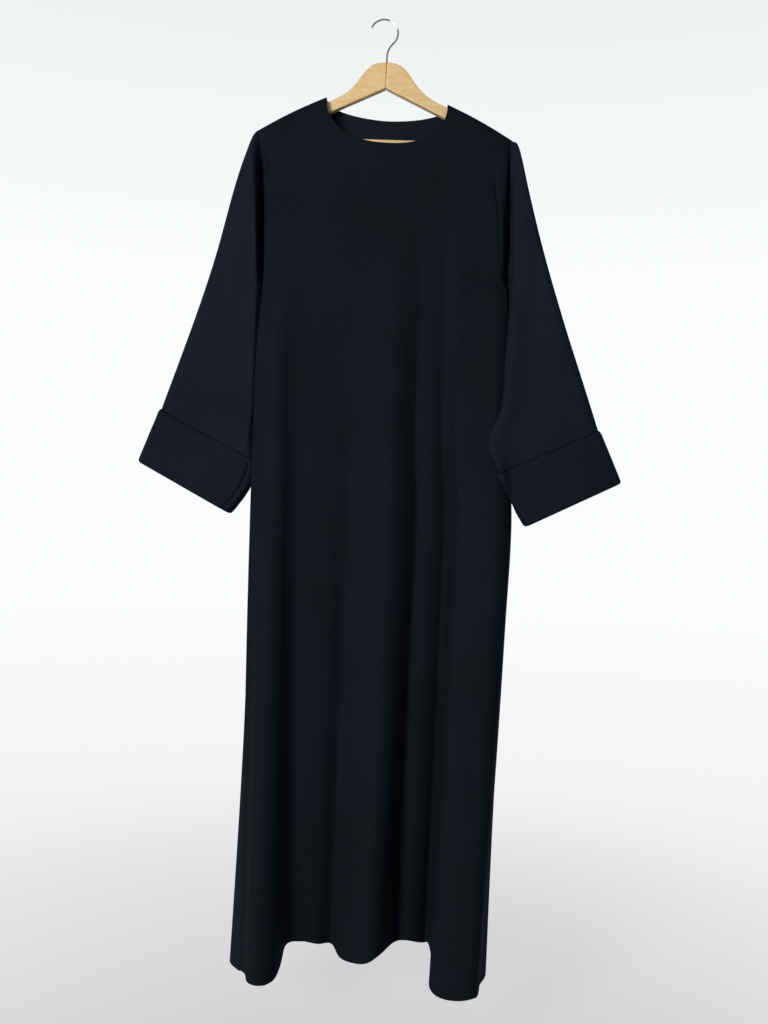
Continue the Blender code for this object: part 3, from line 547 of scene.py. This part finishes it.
Sleeve = namedtuple("Sleeve", "share outer_x outer_z inner_x inner_z mid_y half_depth")
Cuff = namedtuple("Cuff", "outer_x outer_z inner_x inner_z mid_y half_depth")
Tuck = namedtuple("Tuck", "x y near far")
SLEEVE_LEFT = (
    Sleeve(share=0.00, outer_x=-203, outer_z=-192, inner_x=-191, inner_z=-440, mid_y=0, half_depth=15),
    Sleeve(share=0.05, outer_x=-211, outer_z=-198, inner_x=-194, inner_z=-444, mid_y=0.5, half_depth=20),
    Sleeve(share=0.14, outer_x=-220, outer_z=-216, inner_x=-193, inner_z=-452, mid_y=0, half_depth=20),
    Sleeve(share=0.30, outer_x=-243, outer_z=-282, inner_x=-194, inner_z=-467, mid_y=6, half_depth=17),
    Sleeve(share=0.50, outer_x=-275, outer_z=-403, inner_x=-195, inner_z=-493, mid_y=15, half_depth=15),
    Sleeve(share=0.70, outer_x=-306, outer_z=-505, inner_x=-196, inner_z=-565, mid_y=18, half_depth=14),
    Sleeve(share=1.00, outer_x=-360, outer_z=-672, inner_x=-197, inner_z=-754, mid_y=12, half_depth=13),
)
SLEEVE_RIGHT = (
    Sleeve(share=0.00, outer_x=219, outer_z=-197, inner_x=225, inner_z=-440, mid_y=0, half_depth=15),
    Sleeve(share=0.05, outer_x=227, outer_z=-204, inner_x=227, inner_z=-444, mid_y=-1, half_depth=18),
    Sleeve(share=0.14, outer_x=235, outer_z=-222, inner_x=228, inner_z=-451, mid_y=-3.5, half_depth=17),
    Sleeve(share=0.30, outer_x=251, outer_z=-289, inner_x=229, inner_z=-466, mid_y=-12.5, half_depth=15),
    Sleeve(share=0.50, outer_x=281, outer_z=-408, inner_x=227, inner_z=-497, mid_y=-32, half_depth=14),
    Sleeve(share=0.70, outer_x=312, outer_z=-518, inner_x=221, inner_z=-578, mid_y=-52, half_depth=12),
    Sleeve(share=0.86, outer_x=342, outer_z=-607, inner_x=215, inner_z=-664, mid_y=-57, half_depth=11.5),
    Sleeve(share=0.95, outer_x=361, outer_z=-662, inner_x=194, inner_z=-718, mid_y=-58, half_depth=11),
    Sleeve(share=1.00, outer_x=371, outer_z=-691, inner_x=210, inner_z=-766, mid_y=-58, half_depth=11),
)
CUFF_LEFT_HEM = Cuff(outer_x=-392, outer_z=-761, inner_x=-238, inner_z=-843, mid_y=6, half_depth=14)
CUFF_RIGHT_HEM = Cuff(outer_x=407, outer_z=-775, inner_x=258, inner_z=-849, mid_y=-62, half_depth=13)

# Creases are given for the front of each sleeve; the back has its own, a little flatter.
SLEEVE_LEFT_CREASES = (
    Crease(from_x=-214, from_z=-225, to_x=-236, to_z=-470, width=9, depth=2.2),
    Crease(from_x=-228, from_z=-300, to_x=-262, to_z=-560, width=13, depth=1.6),
    Crease(from_x=-214, from_z=-440, to_x=-292, to_z=-640, width=15, depth=-1.6),
)
SLEEVE_LEFT_BACK_CREASES = (
    Crease(from_x=-216, from_z=-240, to_x=-244, to_z=-520, width=10, depth=1.8),
    Crease(from_x=-214, from_z=-450, to_x=-300, to_z=-630, width=16, depth=-1.8),
)
SLEEVE_RIGHT_CREASES = (
    Crease(from_x=232, from_z=-235, to_x=252, to_z=-470, width=9, depth=2.0),
    Crease(from_x=236, from_z=-440, to_x=300, to_z=-650, width=15, depth=-1.4),
)
SLEEVE_RIGHT_BACK_CREASES = (
    Crease(from_x=233, from_z=-240, to_x=258, to_z=-530, width=10, depth=1.8),
    Crease(from_x=240, from_z=-460, to_x=312, to_z=-640, width=16, depth=-1.7),
)
SLEEVE_LENGTH = 560.0
SLEEVE_SIDES = 116
SLEEVE_SWELL = 3.6      # the cuff's weight makes the cloth swell by this just above it
CUFF_DEPTH = 94.0
IN_CUFF_SHARES = np.linspace(0.12, 0.955, 8)   # the sleeve's rings inside the cuff


def sleeve_rows(rows, shares):
    """Columns of a sleeve's table, each read at every share of the sleeve's length."""
    return Cuff(*(from_table(rows, "share", name, shares)[:, None] for name in Cuff._fields))


def cuff_rows(rows, hem, shares):
    top = sleeve_rows(rows, np.array([1.0]))
    return Cuff(*(mix(a, b, shares[:, None]) for a, b in zip(top, hem)))


def flat_rings(row, offset, reach=FOLD_ROUND):
    """Flattened rings between each row's outer and inner folds, moved out by offset, as x, y, z
    arrays, with each point's distance around from the outer fold and from the nearer fold."""
    turn = np.linspace(0, 2 * np.pi, SLEEVE_SIDES, endpoint=False)[None, :]
    long_x, long_z = row.inner_x - row.outer_x, row.inner_z - row.outer_z
    length = np.hypot(long_x, long_z)
    along = -np.cos(turn) * (0.5 + offset / length)
    from_fold = (1 - np.abs(np.cos(turn))) * (length / 2 + offset)
    depth = turned_over(from_fold, reach) * (row.half_depth + offset)
    y = row.mid_y - np.sign(np.sin(turn)) * depth
    x = (row.outer_x + row.inner_x) / 2 + long_x * along
    z = (row.outer_z + row.inner_z) / 2 + long_z * along
    around = np.where(np.sin(turn) >= 0, along + 0.5, 1.5 - along) * length
    return x, y, z, around, from_fold


def stacked(*grids):
    return [np.vstack(parts) for parts in zip(*grids)]


# Below REST_TOP_Z, the right sleeve lies on the front of the body, which presses its layers
# together.
REST_TOP_Z = -480.0
REST_EASING = 50.0      # it comes to lie there over this drop
REST_DEPTH = 5.5        # the middle between its layers stands this far before the panel
REST_HALF_GAP = 1.6     # and each layer this far from that middle
REST_TURN = 6.0         # the layers part over this distance from the sleeve's fold
REST_SOFTNESS = 3.0     # the cloth bends to it no more sharply than this
REST_CORNER = (0, 3, 6, 9)     # it spans the panel's side corner, no steeper than 45 degrees


def laid_on_front(x, y, z, ahead):
    """y, drawn forward so that each point stands ahead of the front panel by at least ahead."""
    panel = BVHTree.FromObject(front_panel, bpy.context.evaluated_depsgraph_get())
    drawn = y.copy()
    for place in zip(*np.nonzero(z < REST_TOP_Z)):
        starts = [((x[place] - step) * MM, -1.0, z[place] * MM) for step in REST_CORNER]
        hits = [panel.ray_cast(start, (0.0, 1.0, 0.0))[0] for start in starts]
        fronts = [hit.y / MM + step for hit, step in zip(hits, REST_CORNER) if hit is not None]
        if fronts:
            too_deep = y[place] - (min(fronts) - ahead[place])
            push = 0.5 * (too_deep + math.hypot(too_deep, REST_SOFTNESS))
            drawn[place] -= push * eased((REST_TOP_Z - z[place]) / REST_EASING)
    return drawn


def add_sleeve(side, rows, hem, front_creases, back_creases, tuck, groove):
    """Adds a sleeve. Under the arm it is tucked by tuck.x and tuck.y behind or before the body,
    from tuck.far to tuck.near of its inner fold."""
    shares = np.linspace(0, 1, 92) ** 1.25
    x, y, z, around, from_fold = flat_rings(sleeve_rows(rows, shares), 0)
    inward = (x - x.min(axis=1, keepdims=True)) / np.ptp(x, axis=1)[:, None]
    inward = inward if tuck.x > 0 else 1 - inward
    from_inner = (1 - inward) * np.ptp(x, axis=1)[:, None]
    tucked = (eased(shares / 0.025) * eased((1 - shares) / 0.12))[:, None]
    x = x + tuck.x * tucked * eased((inward - 0.4) / 0.6)
    x = x + (side_at(f"{side}_x", z[0]) - x[0]) * eased(1 - shares / 0.1)[:, None]
    from_seam = np.hypot(x - side_at(f"{side}_x", np.maximum(z, UNDERARM_Z)), np.minimum(z - UNDERARM_Z, 0))
    y = y * kept_at_armhole(from_seam, groove.sleeve, z.max() - z)
    y = y + tuck.y * tucked * eased((tuck.far - from_inner) / (tuck.far - tuck.near))
    lower = flat_rings(cuff_rows(rows, hem, IN_CUFF_SHARES), 0)
    x, y, z, around, from_fold = stacked((x, y, z, around, from_fold), lower)
    down = np.concatenate([shares * SLEEVE_LENGTH, SLEEVE_LENGTH + IN_CUFF_SHARES * CUFF_DEPTH])
    down = np.broadcast_to(down[:, None], x.shape)
    front = np.sin(np.linspace(0, 2 * np.pi, SLEEVE_SIDES, endpoint=False))[None, :] > 0
    lift = np.where(front, crease_height(front_creases, x, z), crease_height(back_creases, x, z))
    lift = lift + drawn_up(z, down * 0.5) * np.clip(down / 4, 0, 1)
    above_cuff = np.clip(SLEEVE_LENGTH - down, 0, None)
    swell = np.exp(-((above_cuff / 60) ** 2)) * (1 - np.exp(-((above_cuff / 5) ** 2)))
    lift = lift + SLEEVE_SWELL * swell
    lift = lift * np.clip(from_fold / 8.0, 0, 1) * np.clip((SLEEVE_LENGTH + 40 - down) / 80, 0, 1)
    y = y + np.where(front, -lift, lift)
    if side == "right":
        layer = np.where(front, REST_HALF_GAP, -REST_HALF_GAP) * np.clip(from_fold / REST_TURN, 0, 1)
        y = laid_on_front(x, y, z, REST_DEPTH + layer)
    # The first line is the armhole seam; the second, where the sleeve runs into its cuff, is a painted
    # shadow of the gap under the cuff's top edge.
    stitch_and_shade_lines = [down - 3.0, SLEEVE_LENGTH - down]
    sleeve = cloth_piece(f"sleeve_{side}_cloth", x, y, z, around, down, stitch_and_shade_lines, closed=True)
    smooth_shading(sleeve, SMOOTH_ANGLE)
    sleeve.data.materials.append(sleeve_crepe_painted_paler)
    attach(sleeve, "root")
    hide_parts(f"sleeve_{side}")


# The sleeves are the body's crepe, painted paler as painted light: it stands in for the brighter light on
# the sleeves.
sleeve_crepe_painted_paler = black_crepe("black_crepe_sleeves_painted_paler", "#151B25", "#11171F", "#1B222D")
add_sleeve(
    "left", SLEEVE_LEFT, CUFF_LEFT_HEM, SLEEVE_LEFT_CREASES, SLEEVE_LEFT_BACK_CREASES,
    Tuck(x=7, y=26, near=4, far=15), GROOVE_LEFT,
)
add_sleeve(
    "right", SLEEVE_RIGHT, CUFF_RIGHT_HEM, SLEEVE_RIGHT_CREASES, SLEEVE_RIGHT_BACK_CREASES,
    Tuck(x=-5, y=-7, near=0, far=45), GROOVE_RIGHT,
)

# ---------------------------------------------------------------- cuffs
# Each cuff is a deep band of crepe, turned back over the end of the sleeve. Its lower edge is
# a soft fold, and its free upper edge stands off the sleeve unevenly.

CUFF_STAND = 3.0        # the cuff stands this far off the sleeve
CUFF_FOLD_ROUND = 9.0   # its side folds are tighter than the sleeve's
CUFF_RIM_SHARE = 0.55   # its top edge lies closer to the sleeve, by this share of its stand
CUFF_WALL_SHARE = 0.93  # its flat wall reaches this far down, to the soft fold at its hem
CuffRing = namedtuple("CuffRing", "share offset")
CUFF_EDGE = (
    CuffRing(share=0.955, offset=CUFF_STAND),
    CuffRing(share=0.972, offset=CUFF_STAND * 0.9),
    CuffRing(share=0.985, offset=CUFF_STAND * 0.7),
    CuffRing(share=0.996, offset=CUFF_STAND * 0.35),
    CuffRing(share=1.0, offset=0.0),
    CuffRing(share=0.996, offset=-CUFF_STAND * 0.35),
    CuffRing(share=0.985, offset=-CUFF_STAND * 0.7),
    CuffRing(share=0.972, offset=-CUFF_STAND * 0.9),
    CuffRing(share=0.955, offset=-CUFF_STAND),
    CuffRing(share=0.89, offset=-CUFF_STAND),
)


def add_cuff(side, rows, hem, wander, bulge, step):
    """Adds a cuff. Its inner fold bulges out by bulge, and its front layer ends step short of it.
    wander shifts the unevenness of its top edge."""
    wall = np.linspace(0, 1, 34) ** 1.2 * CUFF_WALL_SHARE
    shares = np.concatenate([wall, [ring.share for ring in CUFF_EDGE]])
    rim = 1 - CUFF_RIM_SHARE * np.exp(-((wall * CUFF_DEPTH / 3.5) ** 2))
    offsets = np.concatenate([CUFF_STAND * rim, [ring.offset for ring in CUFF_EDGE]])
    row = cuff_rows(rows, hem, shares)
    row = row._replace(inner_x=row.inner_x + bulge * np.sin(np.pi * shares[:, None] ** 0.9))
    reach = mix(FOLD_ROUND, CUFF_FOLD_ROUND, eased(shares[:, None] / 0.4))
    x, y, z, around, from_fold = flat_rings(row, offsets[:, None], reach)
    front = np.sign(np.sin(np.linspace(0, 2 * np.pi, SLEEVE_SIDES, endpoint=False)))[None, :]
    uneven = np.sin(around * 0.043 + wander) + 0.6 * np.sin(around * 0.101 + 2 * wander)
    fine = 0.5 * np.sin(around * 0.21 + 3 * wander)
    near_top = np.exp(-((shares[:, None] / 0.12) ** 2))
    y = y - front * near_top * (0.4 + 1.1 * (uneven + fine)) * np.clip(from_fold / 8, 0, 1)
    z = z + near_top * (uneven + fine) * 1.5
    short_of_fold = around.max(axis=1, keepdims=True) / 2 - around
    stepped = eased((step - short_of_fold) / 2.5) * (front > 0) * eased(shares[:, None] / 0.15)
    edge = np.exp(-(((short_of_fold - step) / 1.8) ** 2)) * (front > 0) * eased(shares[:, None] / 0.15)
    y = y + stepped * 2.0 + edge * min(step, 4.0)
    if side == "right":
        half_gap = REST_HALF_GAP + 0.8 + 0.4 * offsets[:, None]
        layer = front * half_gap * np.clip(from_fold / REST_TURN, 0, 1)
        y = laid_on_front(x, y, z, REST_DEPTH + layer)
    turned = np.cumsum(np.concatenate([[0], np.hypot(np.diff(shares * CUFF_DEPTH), np.diff(offsets))]))
    down = np.broadcast_to(turned[:, None], x.shape)
    # A painted shadow: a dark line of uneven width along the cuff's free top edge, for the gap where it
    # stands off the sleeve. No stitches run there.
    stitch_and_shade_lines = [down / np.clip(0.9 + 1.1 * (uneven + fine), 0.25, 3.5)]
    cuff = cloth_piece(f"cuff_{side}_cloth", x, y, z, around, down, stitch_and_shade_lines, closed=True)
    smooth_shading(cuff, SMOOTH_ANGLE)
    cuff.data.materials.append(cuff_cloth)
    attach(cuff, "root")
    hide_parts(f"cuff_{side}")


cuff_cloth = black_crepe("black_crepe_cuffs", "#131923", "#10151D", "#18202A")
add_cuff("left", SLEEVE_LEFT, CUFF_LEFT_HEM, wander=0.4, bulge=10, step=13)
add_cuff("right", SLEEVE_RIGHT, CUFF_RIGHT_HEM, wander=2.2, bulge=-2, step=0)

# ---------------------------------------------------------------- hanger
# Two flat arms of pale beech are jointed in the middle, with a turned trouser bar between
# their ends. They are sanded and sealed with a thin clear varnish.


def varnished_beech(name, pale, deep, along_x):
    """Beech under clear satin varnish: fine straight grain with short dark flecks, and a soft gloss."""
    material, tree = new_material(name)
    place = add_node(tree, "ShaderNodeTexCoord").outputs["Object"]
    stretch = (14.0, 160.0, 160.0) if along_x else (40.0, 160.0, 160.0)
    grain_place = add_node(tree, "ShaderNodeMapping", {"Vector": place, "Scale": stretch})
    grain = add_node(
        tree, "ShaderNodeTexNoise",
        {"Vector": grain_place.outputs["Vector"], "Scale": 1.0, "Detail": 4.0, "Roughness": 0.6},
    )
    fleck_place = add_node(tree, "ShaderNodeMapping", {"Vector": place, "Scale": (90.0, 900.0, 900.0)})
    flecks = add_node(
        tree, "ShaderNodeTexNoise",
        {"Vector": fleck_place.outputs["Vector"], "Scale": 1.0, "Detail": 1.0},
    )
    fleck_share = add_node(
        tree, "ShaderNodeMapRange",
        {"Value": flecks.outputs["Fac"], "From Min": 0.6, "From Max": 0.72, "To Min": 0.0, "To Max": 0.3},
    )
    grain_share = add_node(
        tree, "ShaderNodeMapRange", {"Value": grain.outputs["Fac"], "From Min": 0.35, "From Max": 0.7}
    )
    board = add_node(
        tree, "ShaderNodeMix",
        {"Factor": grain_share.outputs["Result"], "A": colour(pale), "B": colour(deep)},
        data_type="RGBA",
    )
    flecked = add_node(
        tree, "ShaderNodeMix",
        {"Factor": fleck_share.outputs["Result"], "A": board.outputs["Result"], "B": colour("#A5814F")},
        data_type="RGBA",
    )
    bump = add_node(
        tree, "ShaderNodeBump", {"Height": grain.outputs["Fac"], "Strength": 0.15, "Distance": 0.0003}
    )
    shader = add_node(
        tree, "ShaderNodeBsdfPrincipled",
        {
            "Base Color": flecked.outputs["Result"], "Roughness": 0.42, "Coat Weight": 0.2,
            "Coat Roughness": 0.25, "Normal": bump.outputs["Normal"],
        },
    )
    add_node(tree, "ShaderNodeOutputMaterial", {"Surface": shader.outputs["BSDF"]})
    return material


beech_arms = varnished_beech("varnished_beech_arms", "#E7C78F", "#DCB47B", False)
beech_bar = varnished_beech("varnished_beech_bar", "#E8CB9A", "#DBB680", True)
for name, wood in (
    ("hanger_arm_left", beech_arms), ("hanger_arm_right", beech_arms), ("trouser_bar", beech_bar)
):
    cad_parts[name].data.materials.clear()
    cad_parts[name].data.materials.append(wood)

# ---------------------------------------------------------------- hook
# The hook is one length of 3 mm steel wire, bent cold and plated with bright chrome.

material, tree = new_material("bright_chrome")
shader = add_node(
    tree, "ShaderNodeBsdfPrincipled",
    {"Base Color": colour("#C4C7C9"), "Metallic": 1.0, "Roughness": 0.2},
)
add_node(tree, "ShaderNodeOutputMaterial", {"Surface": shader.outputs["BSDF"]})
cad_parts["hook"].data.materials.clear()
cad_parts["hook"].data.materials.append(material)

# ---------------------------------------------------------------- studio
# A pale floor below the hem, a pale world, one broad light from the upper left and front, and
# a camera level with the middle of the garment.

FLOOR_Z = -1.70
bpy.ops.mesh.primitive_circle_add(vertices=96, radius=1.6, fill_type="NGON", location=(0, 0.1, FLOOR_Z))
floor = bpy.context.object
floor.name = "floor"
material, tree = new_material("pale_floor")
place = add_node(tree, "ShaderNodeTexCoord").outputs["Object"]
from_middle = add_node(tree, "ShaderNodeVectorMath", {0: place}, operation="LENGTH")
faded = add_node(
    tree, "ShaderNodeMapRange",
    {"Value": from_middle.outputs["Value"], "From Min": 0.1, "From Max": 1.5, "To Min": 0.75, "To Max": 1.0},
    interpolation_type="SMOOTHSTEP",
)
shader = add_node(
    tree, "ShaderNodeBsdfPrincipled", {"Base Color": colour("#E8E9EB"), "Roughness": 0.9}
)
clear = add_node(tree, "ShaderNodeBsdfTransparent")
surface = add_node(
    tree, "ShaderNodeMixShader",
    {0: faded.outputs["Result"], 1: shader.outputs["BSDF"], 2: clear.outputs["BSDF"]},
)
add_node(tree, "ShaderNodeOutputMaterial", {"Surface": surface.outputs["Shader"]})
floor.data.materials.append(material)

world = bpy.data.worlds.new("pale_studio")
bpy.context.scene.world = world
world.use_nodes = True
tree = world.node_tree
tree.nodes.clear()
# The backdrop that the camera sees is painted shade: darker towards the bottom and a little towards the top.
# The light that the world sheds on the garment is even and dimmer.
direction = add_node(tree, "ShaderNodeTexCoord").outputs["Generated"]
height = add_node(tree, "ShaderNodeSeparateXYZ", {"Vector": direction}).outputs["Z"]
rise = add_node(tree, "ShaderNodeMapRange", {"Value": height, "From Min": -0.5, "From Max": -0.1})
bend = add_node(tree, "ShaderNodeMath", {0: rise.outputs["Result"], 1: 0.55}, operation="POWER")
wall = add_node(
    tree, "ShaderNodeMix",
    {"Factor": bend.outputs["Value"], "A": colour("#D2D2D3"), "B": colour("#FAFCFE")},
    data_type="RGBA",
)
fall = add_node(tree, "ShaderNodeMapRange", {"Value": height, "From Min": 0.24, "From Max": 0.5})
shaded_wall = add_node(
    tree, "ShaderNodeMix",
    {"Factor": fall.outputs["Result"], "A": wall.outputs["Result"], "B": colour("#ECEFF0")},
    data_type="RGBA",
)
seen = add_node(tree, "ShaderNodeBackground", {"Color": shaded_wall.outputs["Result"], "Strength": 1.0})
lighting = add_node(tree, "ShaderNodeBackground", {"Color": colour("#EEF2F7"), "Strength": 0.3})
by_camera = add_node(tree, "ShaderNodeLightPath").outputs["Is Camera Ray"]
either = add_node(tree, "ShaderNodeMixShader", {0: by_camera, 1: lighting.outputs[0], 2: seen.outputs[0]})
add_node(tree, "ShaderNodeOutputWorld", {"Surface": either.outputs["Shader"]})


def add_area_light(name, place, aim, size, power):
    lamp = bpy.data.lights.new(name, "AREA")
    lamp.shape = "DISK"
    lamp.size = size
    lamp.energy = power
    holder = bpy.data.objects.new(name, lamp)
    bpy.context.scene.collection.objects.link(holder)
    holder.location = place
    towards = [a - b for a, b in zip(aim, place)]
    flat = math.hypot(towards[0], towards[1])
    holder.rotation_euler = (math.atan2(flat, -towards[2]), 0, math.atan2(-towards[0], towards[1]))


add_area_light("soft_key", (-1.9, -2.95, -0.1), (0, 0, -0.85), 1.3, 106)

CAMERA_ROLL = 1.8       # degrees
camera = bpy.data.objects.new("camera", bpy.data.cameras.new("camera"))
bpy.context.scene.collection.objects.link(camera)
camera.location = (0.0253, -1.64, -0.8334)
camera.rotation_euler = (math.pi / 2, math.radians(-CAMERA_ROLL), 0)
camera.data.sensor_fit = "VERTICAL"
camera.data.sensor_height = 36
camera.data.lens = 967 / 1024 * 36
camera.data.clip_start = 0.05
bpy.context.scene.camera = camera
bpy.context.scene.view_settings.view_transform = "Standard"
